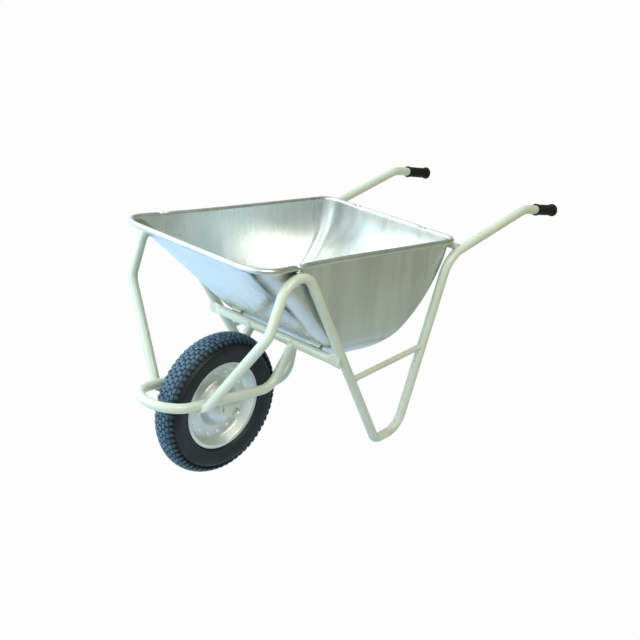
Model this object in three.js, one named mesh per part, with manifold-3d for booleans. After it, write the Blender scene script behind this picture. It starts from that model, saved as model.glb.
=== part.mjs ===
// Single-wheel builder's wheelbarrow: a pressed steel tray bolted to a bent tube frame
// that runs on one pneumatic wheel.
// Millimetres. +X points from the wheel to the grips, +Y to the user's right, +Z up.
// Every shape is drawn from the point on the ground under the axle, and the whole
// assembly is then moved so that the origin lies at the middle of its footprint.

import * as THREE from 'three';
import Module from 'manifold-3d';
import { mergeVertices } from 'three/addons/utils/BufferGeometryUtils.js';

const wasm = await Module();
wasm.setup();

// ---------- driving dimensions ----------

const GAP = 0.3; // clearance between touching pieces
const SIDES = [{ name: 'left', y: -1 }, { name: 'right', y: 1 }];
const RIM_TILT = THREE.MathUtils.degToRad(9.7); // the tray rim and the wheel hoop slope down to the rear

const TUBE = { radius: 12.7, wall: 1.6, sides: 10 }; // 25.4 mm frame tube
const BRACE = { radius: 8, wall: 1.2, height: 243 };
const REAR_BAR = { radius: 9.5, wall: 1.4, outboard: 4.2 };

// One side of the frame, from the grip to the wheel hoop: x, distance from the middle, z, bend radius.
const SIDE_ROUTE = [
  [1107, 240, 495, 0], // end of the handle
  [963, 243, 535, 90], // the grip droops from here
  [628, 243, 487, 80], // rear leg turns down
  [469, 216, TUBE.radius, 60], // back of the foot
  [378, 216, TUBE.radius, 30], // front of the foot
  [35, 262.5, 681, 60], // arch under the side rim
  [-54, 257, 481, 60], // turns in towards the wheel
  [-121, 88, 240, 0], // tip on the hoop's outer side
];
const LEG_FRONT = { top: SIDE_ROUTE[5], foot: SIDE_ROUTE[4] };
const LEG_REAR = { top: SIDE_ROUTE[2], foot: SIDE_ROUTE[3] };

const WHEEL = { radius: 190, segments: 24, sheet: 1.6, seatLip: 3.4, lipY: 41.2 };
const HOOP = {
  halfWidth: 80, front: -219, heightAtAxle: 238, rearBend: 118, bendRadius: 60, noseRadius: 76,
};
const CROSSBAR = { z: 319, halfLength: 246, flatFrom: 200, flatTo: 224, squeeze: 0.3, spread: 1.35 };

const TRAY = {
  frontX: -83, frontZ: 649, // middle of the rim bead at the front
  length: 757, halfWidth: 232.5, flare: 22, flareEnd: 380,
  depth: 292, rearArc: 292, rearPower: 1.8, sheet: 1.2,
  frontSlope: THREE.MathUtils.degToRad(37.5), // front wall, measured from the rim's plane
  frontFillet: 90, sideTaper: THREE.MathUtils.degToRad(4), edgeRound: 60,
  frontCorner: 66, rearCorner: 32, floorCorner: 22,
  bead: 7.5, beadTurn: THREE.MathUtils.degToRad(300),
};

const BRACKET = {
  inner: 69, plate: 5, front: -50, frontDrop: 8, corner: 5, // frontDrop is above the axle
  boss: 16, bossStart: -1.92, // rounded end about the axle, and the angle where it begins
  slotX: -40, slotHalf: 3, slotTop: 28, slotBottom: 17, // slot ends, above the axle
};
const AXLE = { radius: 6, halfLength: 89 };
const NUT = { acrossFlats: 19, height: 10 };
const WASHER = { radius: 12, thickness: 1.7 };
const BEARING = { inner: 28, width: 11, boreWall: 2.4, outerBore: 10.2, outerRadius: 16 };
const RIVET = { count: 16, circle: 85, shank: 3, head: 5, headHeight: 2.2 };
const VALVE = {
  r: 105, y: 3.4, dirR: -0.679, dirY: 0.734, // root, and the way it points
  radius: 3.5, stemLength: 33, capLength: 12, capWall: 1.6, capEnd: 2,
};
const BOLT = { radius: 4, headRadius: 7, headHeight: 3.5, acrossFlats: 13, nutHeight: 6.5, showing: 2 };
const BOLT_HOLE = { top: 20, bottom: -60 }; // drilled from above the rim to below the tubes
const SIDE_BOLT_X = 51;
const REAR_BOLT_Y = 121;
const BOLT_OUTBOARD = 3; // from the middle of the rim bead
const SPACER_RADIUS = 8;
const PAD = { y: 150, length: 34, width: 13 };
const GRIP = { length: 96, bore: 13.2, body: 15.2, collar: 17.4, flange: 18.2, endWall: 5, segments: 16 };

// ---------- finishes ----------

function finish(color, roughness, metalness) {
  return new THREE.MeshStandardMaterial({ color, roughness, metalness });
}

const FRAME_PAINT = finish(0xd9dccb, 0.42, 0.0);
const TRAY_STEEL = finish(0xbfc6c8, 0.3, 0.9);
const WHEEL_STEEL = finish(0xc4cac6, 0.35, 0.8);
const ZINC = finish(0xb9bcb8, 0.35, 0.9);
const BEARING_STEEL = finish(0x9fa3a6, 0.25, 1.0);
const TYRE_RUBBER = finish(0x1d2228, 0.75, 0.0);
const TUBE_RUBBER = finish(0x151515, 0.7, 0.0);
const GRIP_PLASTIC = finish(0x16170f, 0.55, 0.0);

// ---------- solids ----------

function signedVolume(geometry) {
  const p = geometry.getAttribute('position');
  const index = geometry.index.array;
  const [a, b, c] = [new THREE.Vector3(), new THREE.Vector3(), new THREE.Vector3()];
  let total = 0;
  for (let i = 0; i < index.length; i += 3) {
    a.fromBufferAttribute(p, index[i]);
    b.fromBufferAttribute(p, index[i + 1]);
    c.fromBufferAttribute(p, index[i + 2]);
    total += a.dot(b.cross(c)) / 6;
  }
  return total;
}

// Shares the vertices of a shape and turns its faces outwards.
function closed(geometry) {
  const bare = geometry.clone();
  bare.deleteAttribute('normal');
  bare.deleteAttribute('uv');
  const merged = mergeVertices(bare, 1e-3);
  const kept = [];
  const index = merged.index.array;
  for (let i = 0; i < index.length; i += 3) {
    const [a, b, c] = index.slice(i, i + 3);
    if (a !== b && b !== c && c !== a) kept.push(a, b, c);
  }
  merged.setIndex(kept);
  if (signedVolume(merged) < 0) merged.setIndex(kept.reverse());
  return merged;
}

function toSolid(geometry) {
  const shape = closed(geometry);
  return new wasm.Manifold(new wasm.Mesh({
    numProp: 3,
    vertProperties: Float32Array.from(shape.getAttribute('position').array),
    triVerts: Uint32Array.from(shape.index.array),
  }));
}

function toGeometry(solid) {
  const mesh = solid.getMesh();
  const geometry = new THREE.BufferGeometry();
  geometry.setAttribute('position', new THREE.BufferAttribute(mesh.vertProperties, 3));
  geometry.setIndex(new THREE.BufferAttribute(mesh.triVerts, 1));
  return geometry;
}

// The geometry with every tool taken away from it.
function cut(geometry, ...tools) {
  return toGeometry(tools.reduce((solid, tool) => solid.subtract(toSolid(tool)), toSolid(geometry)));
}

// ---------- tubes and turned shapes ----------

// A path through given knots, with each knot's direction halfway between its two neighbours.
class KnotPath extends THREE.Curve {
  constructor(knots) {
    super();
    this.knots = knots;
  }

  getPointAt(u) {
    const place = u * (this.knots.length - 1);
    const i = Math.min(Math.floor(place), this.knots.length - 2);
    return this.knots[i].clone().lerp(this.knots[i + 1], place - i);
  }

  getTangentAt(u) {
    const i = Math.round(u * (this.knots.length - 1));
    const before = this.knots[Math.max(i - 1, 0)];
    const here = this.knots[i];
    const after = this.knots[Math.min(i + 1, this.knots.length - 1)];
    const arriving = here.clone().sub(before).normalize();
    const leaving = after.clone().sub(here).normalize();
    return arriving.add(leaving).normalize();
  }
}

// The knots of a route whose corners are rounded: each corner is [x, y, z, bend radius].
function bentRoute(corners, anglePerStep = 0.3) {
  const points = corners.map(([x, y, z]) => new THREE.Vector3(x, y, z));
  const knots = [points[0]];
  for (let i = 1; i < points.length - 1; i += 1) {
    const back = points[i - 1].clone().sub(points[i]).normalize();
    const ahead = points[i + 1].clone().sub(points[i]).normalize();
    const half = back.angleTo(ahead) / 2;
    const radius = corners[i][3];
    const middle = back.clone().add(ahead).normalize();
    const centre = points[i].clone().addScaledVector(middle, radius / Math.sin(half));
    const start = points[i].clone().addScaledVector(back, radius / Math.tan(half)).sub(centre);
    const turn = Math.PI - 2 * half;
    const axis = back.clone().cross(ahead).normalize();
    const steps = Math.max(2, Math.ceil(turn / anglePerStep));
    for (let k = 0; k <= steps; k += 1) {
      knots.push(start.clone().applyAxisAngle(axis, (-turn * k) / steps).add(centre));
    }
  }
  knots.push(points[points.length - 1]);
  return knots;
}

function circle(radius) {
  return new THREE.Shape().absarc(0, 0, radius, 0, Math.PI * 2, false);
}

function sweep(knots, radius, wall = 0, sides = TUBE.sides) {
  const section = circle(radius);
  if (wall > 0) section.holes.push(circle(radius - wall));
  return new THREE.ExtrudeGeometry(section, {
    steps: knots.length - 1,
    curveSegments: sides / 2,
    extrudePath: new KnotPath(knots),
  });
}

// A solid of revolution about an axis parallel to Y, from [radius, y] points.
function turned(points, segments) {
  const outline = points.map(([radius, y]) => new THREE.Vector2(radius, y));
  outline.push(outline[0].clone());
  return closed(new THREE.LatheGeometry(outline, segments));
}

function ring(inner, outer, from, to, segments = 16) {
  return turned([[inner, from], [outer, from], [outer, to], [inner, to]], segments);
}

// A plain round bar between two points, used for cutting holes.
function rod(from, to, radius, segments = 12) {
  const along = to.clone().sub(from);
  const bar = new THREE.CylinderGeometry(radius, radius, along.length(), segments);
  const turn = new THREE.Quaternion().setFromUnitVectors(new THREE.Vector3(0, 1, 0), along.normalize());
  bar.applyQuaternion(turn);
  const middle = from.clone().add(to).multiplyScalar(0.5);
  return bar.translate(middle.x, middle.y, middle.z);
}

// A hexagonal nut standing along Y, with a plain hole.
function hexNut(acrossFlats, height, hole) {
  const corner = acrossFlats / Math.sqrt(3);
  const section = new THREE.Shape();
  for (let i = 0; i < 6; i += 1) {
    const angle = (i * Math.PI) / 3;
    section.lineTo(corner * Math.cos(angle), corner * Math.sin(angle));
  }
  section.curves.shift();
  section.holes.push(circle(hole));
  const nut = new THREE.ExtrudeGeometry(section, { depth: height, bevelEnabled: false, curveSegments: 6 });
  return nut.rotateX(-Math.PI / 2);
}

// ---------- assembly ----------

const barrow = new THREE.Group();

// Groups that carry pieces drawn in the tray's own tilted frame.
const trayFrame = new THREE.Group();
trayFrame.position.set(TRAY.frontX, 0, TRAY.frontZ);
trayFrame.rotation.y = RIM_TILT;
barrow.add(trayFrame);

const wheelFrame = new THREE.Group();
wheelFrame.position.z = WHEEL.radius;
barrow.add(wheelFrame);

function addPiece(parent, name, geometry, material) {
  const mesh = new THREE.Mesh(closed(geometry), material);
  mesh.name = name;
  parent.add(mesh);
  return mesh;
}

// ---------- tray ----------

// The tray's width compared with its width at the rear: it flares towards the front.
function flareAt(x) {
  const ahead = Math.max(0, (TRAY.flareEnd - x) / TRAY.flareEnd);
  return 1 + (TRAY.flare / TRAY.halfWidth) * ahead ** 2;
}

// Front wall's x at a depth: a sloping line, then a fillet into the floor.
function frontWallX(depth, grow) {
  const floor = TRAY.depth + grow;
  const slope = 1 / Math.tan(TRAY.frontSlope);
  const top = TRAY.bead - grow / Math.sin(TRAY.frontSlope);
  const radius = TRAY.frontFillet + grow;
  const reach = radius * Math.tan(TRAY.frontSlope / 2);
  const floorStart = top + slope * floor + reach;
  if (depth < floor - reach * Math.sin(TRAY.frontSlope)) return top + slope * depth;
  const rise = depth - (floor - radius);
  return floorStart - Math.sqrt(Math.max(0, radius ** 2 - rise ** 2));
}

// The tray's outline at one depth, as points around it. grow moves the skin outwards.
function trayOutline(turn, grow) {
  const floor = TRAY.depth + grow;
  const depth = floor * Math.sin(turn);
  const share = depth / floor;
  const front = frontWallX(depth, grow);
  const rearCentre = TRAY.length - TRAY.bead - TRAY.rearArc;
  const bulge = (1 - share ** TRAY.rearPower) ** (1 / TRAY.rearPower);
  const rear = rearCentre + (TRAY.rearArc + grow) * bulge;
  const round = TRAY.edgeRound + grow;
  const sunk = Math.max(0, depth - (floor - round));
  const pulledIn = round - Math.sqrt(Math.max(0, round ** 2 - sunk ** 2));
  const half = TRAY.halfWidth + grow - depth * Math.tan(TRAY.sideTaper) - pulledIn;
  const frontCorner = THREE.MathUtils.lerp(TRAY.frontCorner, TRAY.floorCorner, share) + grow;
  const rearCorner = THREE.MathUtils.lerp(TRAY.rearCorner, TRAY.floorCorner, share ** 2) + grow;
  const points = [];
  const corner = (cx, cy, radius, start) => {
    for (let k = 0; k <= 4; k += 1) {
      const angle = start + (k / 4) * (Math.PI / 2);
      points.push([cx + radius * Math.cos(angle), cy + radius * Math.sin(angle)]);
    }
  };
  const side = (fromX, toX, y) => {
    for (let k = 1; k < 4; k += 1) points.push([THREE.MathUtils.lerp(fromX, toX, k / 4), y]);
  };
  corner(rear - rearCorner, half - rearCorner, rearCorner, 0);
  side(rear - rearCorner, front + frontCorner, half);
  corner(front + frontCorner, half - frontCorner, frontCorner, Math.PI / 2);
  corner(front + frontCorner, frontCorner - half, frontCorner, Math.PI);
  side(front + frontCorner, rear - rearCorner, -half);
  corner(rear - rearCorner, rearCorner - half, rearCorner, -Math.PI / 2);
  return points.map(([x, y]) => new THREE.Vector3(x, y * flareAt(x), -depth));
}

// Outward directions in the plane of a closed outline.
function outwardOf(outline) {
  return outline.map((_, i) => {
    const before = outline[(i + outline.length - 1) % outline.length];
    const after = outline[(i + 1) % outline.length];
    return new THREE.Vector3(after.y - before.y, before.x - after.x, 0).normalize();
  });
}

function rimBeadRing(outline, outward, radius, angle) {
  const reach = TRAY.bead + radius * Math.cos(angle);
  const rise = radius * Math.sin(angle);
  return outline.map((point, i) => point.clone().addScaledVector(outward[i], reach).setZ(rise));
}

function trayShell() {
  const levels = 10;
  const rings = [];
  for (let k = levels; k >= 0; k -= 1) rings.push(trayOutline((k / levels) * (Math.PI / 2), 0));
  const rimLine = rings[rings.length - 1];
  const outward = outwardOf(rimLine);
  const beadSteps = 7;
  for (let k = 1; k <= beadSteps; k += 1) {
    rings.push(rimBeadRing(rimLine, outward, TRAY.bead, Math.PI - (TRAY.beadTurn * k) / beadSteps));
  }
  for (let k = beadSteps; k >= 1; k -= 1) {
    const angle = Math.PI - (TRAY.beadTurn * k) / beadSteps;
    rings.push(rimBeadRing(rimLine, outward, TRAY.bead - TRAY.sheet, angle));
  }
  for (let k = 0; k <= levels; k += 1) rings.push(trayOutline((k / levels) * (Math.PI / 2), TRAY.sheet));
  return loft(rings);
}

// Joins rings of equal length and closes both ends with a flat fan.
function loft(rings) {
  const count = rings[0].length;
  const points = rings.flat();
  const index = [];
  for (let r = 0; r < rings.length - 1; r += 1) {
    for (let i = 0; i < count; i += 1) {
      const [a, b] = [r * count + i, r * count + ((i + 1) % count)];
      index.push(a, b, b + count, a, b + count, a + count);
    }
  }
  const last = (rings.length - 1) * count;
  for (let i = 1; i < count - 1; i += 1) {
    index.push(0, i + 1, i);
    index.push(last, last + i, last + i + 1);
  }
  const geometry = new THREE.BufferGeometry().setFromPoints(points);
  geometry.setIndex(index);
  return geometry;
}

// Where the four rim bolts stand, in the tray's frame.
function rimBoltPlaces() {
  const sideX = (SIDE_BOLT_X - TRAY.frontX) / Math.cos(RIM_TILT);
  const sideY = TRAY.halfWidth * flareAt(sideX) + TRAY.bead + BOLT_OUTBOARD;
  return SIDES.flatMap(({ name, y }) => [
    { name: `${name}_side`, x: sideX, y: y * sideY },
    { name: `${name}_rear`, x: TRAY.length + BOLT_OUTBOARD, y: y * REAR_BOLT_Y },
  ]);
}

// The wheelbarrow's own coordinates of a point given in the tray's frame.
function fromTray(x, y, z) {
  return new THREE.Vector3(x, y, z).applyAxisAngle(new THREE.Vector3(0, 1, 0), RIM_TILT)
    .add(new THREE.Vector3(TRAY.frontX, 0, TRAY.frontZ));
}

function boltHole(place, radius, inTrayFrame) {
  const ends = [BOLT_HOLE.top, BOLT_HOLE.bottom].map((z) => (inTrayFrame
    ? new THREE.Vector3(place.x, place.y, z)
    : fromTray(place.x, place.y, z)));
  return rod(ends[1], ends[0], radius, 10);
}

function buildTray() {
  const holes = rimBoltPlaces().map((place) => boltHole(place, BOLT.radius + GAP, true));
  addPiece(trayFrame, 'tray', cut(trayShell(), ...holes), TRAY_STEEL);
}

// ---------- frame ----------

function sideKnots(y) {
  return bentRoute(SIDE_ROUTE.map(([x, half, z, bend]) => [x, y * half, z, bend]));
}

function hoopHeight(x) {
  return HOOP.heightAtAxle - x * Math.tan(RIM_TILT);
}

function alongLeg(leg, z) {
  const share = (z - leg.foot[2]) / (leg.top[2] - leg.foot[2]);
  return {
    x: THREE.MathUtils.lerp(leg.foot[0], leg.top[0], share),
    y: THREE.MathUtils.lerp(leg.foot[1], leg.top[1], share),
  };
}

function crossbarX() {
  const lean = Math.atan2(LEG_FRONT.foot[0] - LEG_FRONT.top[0], LEG_FRONT.top[2] - LEG_FRONT.foot[2]);
  const standOff = TUBE.radius + TUBE.radius * CROSSBAR.squeeze + 2 * GAP;
  return alongLeg(LEG_FRONT, CROSSBAR.z).x - standOff / Math.cos(lean);
}

function hoopKnots() {
  const { halfWidth, front, rearBend, bendRadius, noseRadius } = HOOP;
  const arm = (y) => [
    [crossbarX(), y, CROSSBAR.z, 0],
    [rearBend, y, hoopHeight(rearBend), bendRadius],
    [front, y, hoopHeight(front), noseRadius],
  ];
  return bentRoute([...arm(halfWidth), ...arm(-halfWidth).reverse()]);
}

// The round crossbar, pinched flat at both ends where it laps the legs.
function crossbarShape() {
  const { halfLength, flatFrom, flatTo, squeeze, spread, z } = CROSSBAR;
  const stations = [-halfLength, -flatTo, -flatFrom, 0, flatFrom, flatTo, halfLength];
  const knots = stations.map((y) => new THREE.Vector3(0, y, 0));
  const bar = sweep(knots, TUBE.radius, TUBE.wall);
  const p = bar.getAttribute('position');
  for (let i = 0; i < p.count; i += 1) {
    const share = THREE.MathUtils.clamp((Math.abs(p.getY(i)) - flatFrom) / (flatTo - flatFrom), 0, 1);
    p.setX(i, p.getX(i) * THREE.MathUtils.lerp(1, squeeze, share));
    p.setZ(i, p.getZ(i) * THREE.MathUtils.lerp(1, spread, share));
  }
  return bar.translate(crossbarX(), 0, z);
}

function barBetween(from, to, radius, wall) {
  return sweep([from, from.clone().lerp(to, 0.5), to], radius, wall);
}

function rearBarCentre() {
  return fromTray(TRAY.length + REAR_BAR.outboard, 0, -(TRAY.bead + REAR_BAR.radius + 2 * GAP));
}

function buildFrame() {
  const holes = rimBoltPlaces().map((place) => boltHole(place, BOLT.radius + GAP, false));
  const hoopSpace = sweep(hoopKnots(), TUBE.radius + GAP);
  const crossbarSpace = rod(
    new THREE.Vector3(crossbarX(), -CROSSBAR.flatFrom, CROSSBAR.z),
    new THREE.Vector3(crossbarX(), CROSSBAR.flatFrom, CROSSBAR.z),
    TUBE.radius + 2 * GAP,
    16,
  );
  const sideSpaces = SIDES.map(({ y }) => sweep(sideKnots(y), TUBE.radius + GAP));

  const hoop = sweep(hoopKnots(), TUBE.radius, TUBE.wall);
  addPiece(barrow, 'wheel_hoop', cut(hoop, crossbarSpace), FRAME_PAINT);
  addPiece(barrow, 'front_crossbar', cut(crossbarShape(), ...sideSpaces), FRAME_PAINT);

  const rear = rearBarCentre();
  const rearEnds = SIDES.map(({ y }) => new THREE.Vector3(rear.x, y * LEG_REAR.top[1], rear.z));
  const rearBar = barBetween(...rearEnds, REAR_BAR.radius, REAR_BAR.wall);
  addPiece(barrow, 'rear_crossbar', cut(rearBar, ...sideSpaces, ...holes), FRAME_PAINT);

  SIDES.forEach(({ name, y }, i) => {
    const tube = sweep(sideKnots(y), TUBE.radius, TUBE.wall);
    addPiece(barrow, `${name}_frame_tube`, cut(tube, hoopSpace, ...holes), FRAME_PAINT);
    const front = alongLeg(LEG_FRONT, BRACE.height);
    const back = alongLeg(LEG_REAR, BRACE.height);
    const ends = [front, back].map((end) => new THREE.Vector3(end.x, y * end.y, BRACE.height));
    const brace = barBetween(...ends, BRACE.radius, BRACE.wall);
    addPiece(barrow, `${name}_leg_brace`, cut(brace, sideSpaces[i]), FRAME_PAINT);
    addPiece(barrow, `${name}_axle_bracket`, cut(bracketPlate(y), hoopSpace), FRAME_PAINT);
  });
}

// A drop plate under the hoop arm, with the axle hole and a lightening slot.
function bracketPlate(y) {
  const { inner, plate, front, frontDrop, corner, boss, bossStart } = BRACKET;
  const { slotX, slotHalf, slotTop, slotBottom } = BRACKET;
  const frontEnd = WHEEL.radius + frontDrop;
  const outline = new THREE.Shape();
  outline.moveTo(front, hoopHeight(front));
  outline.lineTo(front, frontEnd + corner);
  outline.lineTo(front + corner, frontEnd);
  outline.absarc(0, WHEEL.radius, boss, bossStart, 0, false);
  outline.lineTo(boss, hoopHeight(boss));
  const axleHole = new THREE.Path().absarc(0, WHEEL.radius, AXLE.radius + GAP, 0, Math.PI * 2, true);
  const slot = new THREE.Path();
  slot.absarc(slotX, WHEEL.radius + slotTop, slotHalf, 0, Math.PI, false);
  slot.absarc(slotX, WHEEL.radius + slotBottom, slotHalf, Math.PI, Math.PI * 2, false);
  outline.holes.push(axleHole, slot);
  const shape = new THREE.ExtrudeGeometry(outline, { depth: plate, bevelEnabled: false, curveSegments: 5 });
  shape.rotateX(Math.PI / 2); // the drawing's second axis becomes Z and the depth runs along -Y
  return shape.translate(0, y > 0 ? inner + plate : -inner, 0);
}

// ---------- tray fastenings ----------

function buildRimBolts() {
  for (const place of rimBoltPlaces()) {
    const onSide = place.name.endsWith('side');
    const standing = new THREE.Group();
    standing.position.set(place.x, place.y, 0);
    standing.rotation.x = Math.PI / 2; // pieces drawn along Y now stand along the tray's Z
    trayFrame.add(standing);
    const tubeRadius = onSide ? TUBE.radius : REAR_BAR.radius;
    const tubeCentre = onSide ? sideTubeDepth() : -(TRAY.bead + REAR_BAR.radius + 2 * GAP);
    const nutTop = tubeCentre - tubeRadius - 4 * GAP;
    const shankEnd = nutTop - BOLT.nutHeight - BOLT.showing;
    const seat = TRAY.bead + GAP;
    const { radius, headRadius, headHeight, acrossFlats, nutHeight } = BOLT;
    const bolt = turned([
      [0, shankEnd], [radius, shankEnd], [radius, seat], [headRadius, seat],
      [headRadius, seat + headHeight / 2], [headRadius * 0.6, seat + headHeight], [0, seat + headHeight],
    ], 12);
    addPiece(standing, `${place.name}_rim_bolt`, bolt, ZINC);
    const nut = hexNut(acrossFlats, nutHeight, radius + GAP).translate(0, nutTop - nutHeight, 0);
    addPiece(standing, `${place.name}_rim_nut`, nut, ZINC);
    if (onSide) {
      const from = tubeCentre + tubeRadius + 2 * GAP;
      const spacer = ring(radius + GAP, SPACER_RADIUS, from, -TRAY.bead - GAP, 14);
      addPiece(standing, `${place.name}_rim_spacer`, spacer, ZINC);
    }
  }
}

// Height of the side tube's middle in the tray's frame, where the side bolt passes through its arch.
function sideTubeDepth() {
  const bolt = rimBoltPlaces().find((place) => place.name === 'right_side');
  const back = new THREE.Vector3(0, 1, 0);
  const local = sideKnots(1)
    .map((knot) => knot.clone().sub(trayFrame.position).applyAxisAngle(back, -RIM_TILT));
  const heights = [];
  for (let i = 1; i < local.length; i += 1) {
    const [from, to] = [local[i - 1], local[i]];
    const share = (bolt.x - from.x) / (to.x - from.x);
    if (share >= 0 && share <= 1) heights.push(THREE.MathUtils.lerp(from.z, to.z, share));
  }
  return Math.max(...heights.filter((height) => height < 0));
}

// Steel pads that carry the tray's front wall on the crossbar.
function buildTrayPads() {
  const wallTilt = RIM_TILT + TRAY.frontSlope;
  const away = new THREE.Vector3(Math.sin(wallTilt), 0, Math.cos(wallTilt));
  const bar = new THREE.Vector3(crossbarX(), 0, CROSSBAR.z);
  const local = bar.clone().sub(trayFrame.position).applyAxisAngle(new THREE.Vector3(0, 1, 0), -RIM_TILT);
  const wallX = frontWallX(-local.z, TRAY.sheet);
  const clear = Math.abs(wallX - local.x) * Math.sin(TRAY.frontSlope) - TUBE.radius;
  const thickness = clear - 3 * GAP;
  for (const { name, y } of SIDES) {
    const pad = new THREE.BoxGeometry(PAD.width, PAD.length, thickness);
    const mesh = addPiece(barrow, `${name}_tray_pad`, pad, FRAME_PAINT);
    mesh.rotation.y = wallTilt;
    mesh.position.copy(bar).addScaledVector(away, TUBE.radius + 1.5 * GAP + thickness / 2);
    mesh.position.y = y * PAD.y;
  }
}

// ---------- grips ----------

function gripShape() {
  const { length, bore, body, collar, flange, endWall } = GRIP;
  return turned([
    [bore, 0], [collar - 1, 0], [collar, 2.5], [collar - 0.8, 6], [body, 10],
    [body, length - 9], [flange, length - 6], [flange, length - 2], [flange - 3, length],
    [0, length], [0, length - endWall], [bore, length - endWall],
  ], GRIP.segments);
}

function buildGrips() {
  for (const { name, y } of SIDES) {
    const [end, bend] = SIDE_ROUTE.slice(0, 2).map(([x, half, z]) => new THREE.Vector3(x, y * half, z));
    const along = end.clone().sub(bend).normalize();
    const mesh = addPiece(barrow, `${name}_grip`, gripShape(), GRIP_PLASTIC);
    mesh.quaternion.setFromUnitVectors(new THREE.Vector3(0, 1, 0), along);
    mesh.position.copy(end).addScaledVector(along, GRIP.endWall + GAP - GRIP.length);
  }
}

// ---------- axle ----------

function buildAxle() {
  const bore = AXLE.radius + GAP;
  const { inner, width, boreWall, outerBore, outerRadius } = BEARING;
  const plateOuter = BRACKET.inner + BRACKET.plate;
  const { radius, halfLength } = AXLE;
  const axle = turned([[0, -halfLength], [radius, -halfLength], [radius, halfLength], [0, halfLength]], 14);
  addPiece(wheelFrame, 'axle', axle, ZINC);
  const sleeve = ring(bore, bore + boreWall, GAP - inner, inner - GAP, 14);
  addPiece(wheelFrame, 'bearing_spacer_sleeve', sleeve, ZINC);
  for (const { name, y } of SIDES) {
    const add = (piece, geometry, material) => {
      const mesh = addPiece(wheelFrame, `${name}_${piece}`, geometry, material);
      if (y < 0) mesh.rotation.z = Math.PI;
    };
    const washerFrom = plateOuter + GAP;
    const nutFrom = washerFrom + WASHER.thickness + GAP;
    add('axle_spacer', ring(bore, bore + boreWall, inner + width + GAP, BRACKET.inner - GAP, 14), ZINC);
    add('axle_washer', ring(bore, WASHER.radius, washerFrom, washerFrom + WASHER.thickness, 14), ZINC);
    add('axle_nut', hexNut(NUT.acrossFlats, NUT.height, bore).translate(0, nutFrom, 0), ZINC);
    add('bearing_inner_race', ring(bore, bore + boreWall, inner, inner + width, 14), BEARING_STEEL);
    add('bearing_outer_race', ring(outerBore, outerRadius, inner, inner + width, 14), BEARING_STEEL);
  }
}

// ---------- wheel ----------

// Half of the pressed wheel: bearing seat, dome, flat web, cone and rolled lip.
function wheelHalfShape() {
  const t = WHEEL.sheet;
  const { lipY } = WHEEL;
  const seat = BEARING.outerRadius + GAP;
  const mouth = seat - WHEEL.seatLip; // turned in over the bearing
  const web = GAP / 2;
  const bearingEnd = BEARING.inner + BEARING.width + GAP;
  const outer = [
    [mouth, lipY], [seat + 4, lipY], [33, 37.6], [46, 27.5], [55.5, 12.5], [61.5, web + t],
    [98, web + t], [113.8, 26.6], [117.6, 28.6],
  ];
  const lip = [[118.4, 27]];
  const inner = [
    [115.2, 25.6], [99.4, web], [60.2, web], [53.9, 12.2], [44.9, 26.2], [32.3, 36.2],
    [seat + t, 39.4], [seat + t, BEARING.inner - 1], [seat, BEARING.inner - 1],
    [seat, bearingEnd], [mouth, bearingEnd],
  ];
  return turned([...outer, ...lip, ...inner], WHEEL.segments);
}

function rivetPlaces() {
  return Array.from({ length: RIVET.count }, (_, i) => {
    const angle = (i * 2 * Math.PI) / RIVET.count;
    return new THREE.Vector3(RIVET.circle * Math.cos(angle), 0, RIVET.circle * Math.sin(angle));
  });
}

function mirrored(outline) {
  const inside = outline.filter(([, y]) => y > 0).reverse();
  return [...outline, ...inside.map(([radius, y]) => [radius, -y])];
}

function tyreShape() {
  const outside = mirrored([
    [108.5, 7], [110, 14], [115.6, 22.6], [119.4, 26.2], [124, 31.5], [136, 36.5], [154, 38.5],
    [172, 34.5], [184.5, 21], [WHEEL.radius, 0],
  ]);
  const inside = mirrored([[113, 8.8], [124, 23], [143, 31], [160, 31.5], [174, 23], [181.5, 0]]);
  return turned([...outside, ...inside.reverse()], WHEEL.segments);
}

function valveRod(from, to, radius) {
  const at = (s) => new THREE.Vector3(0, VALVE.y + VALVE.dirY * s, VALVE.r + VALVE.dirR * s);
  return rod(at(from), at(to), radius, 8);
}

function innerTubeShape() {
  const skin = mirrored([
    [102.5, 0], [104, 3.6], [108.5, 6.2], [114, 8.4], [125, 21.3], [143, 29.2], [159, 29.7],
    [172.4, 21.8], [179.8, 0],
  ]);
  const air = mirrored([
    [105, 0], [109, 4.2], [116, 7.4], [127, 19.2], [143.6, 26.8], [158, 27.3], [170.4, 20.4],
    [177.2, 0],
  ]);
  const [outer, hollow] = [skin, air].map((points) => turned(points, WHEEL.segments));
  return cut(outer, hollow, valveRod(-3, 4, VALVE.radius + GAP));
}

function buildWheel() {
  const rivetHoles = rivetPlaces().map((place) => rod(
    place.clone().setY(-5),
    place.clone().setY(5),
    RIVET.shank + 2 * GAP,
    6,
  ));
  const valveHole = valveRod(-1, 20, VALVE.radius + 2 * GAP);
  for (const { name, y } of SIDES) {
    const half = wheelHalfShape();
    if (y < 0) half.scale(1, -1, 1);
    const holes = y > 0 ? [...rivetHoles, valveHole] : rivetHoles;
    addPiece(wheelFrame, `${name}_wheel_half`, cut(closed(half), ...holes), WHEEL_STEEL);
  }
  addPiece(wheelFrame, 'tyre', tyreShape(), TYRE_RUBBER);
  addPiece(wheelFrame, 'inner_tube', innerTubeShape(), TUBE_RUBBER);
  buildValve();
  buildRivets();
}

function buildRivets() {
  const { shank, head, headHeight } = RIVET;
  const seat = WHEEL.sheet + 1.5 * GAP;
  const outline = mirrored([
    [0, seat + headHeight], [head, seat + headHeight / 3], [head, seat], [shank, seat],
  ]);
  rivetPlaces().forEach((place, i) => {
    const mesh = addPiece(wheelFrame, `wheel_rivet_${i + 1}`, turned(outline, 6), ZINC);
    mesh.position.copy(place);
  });
}

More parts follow.
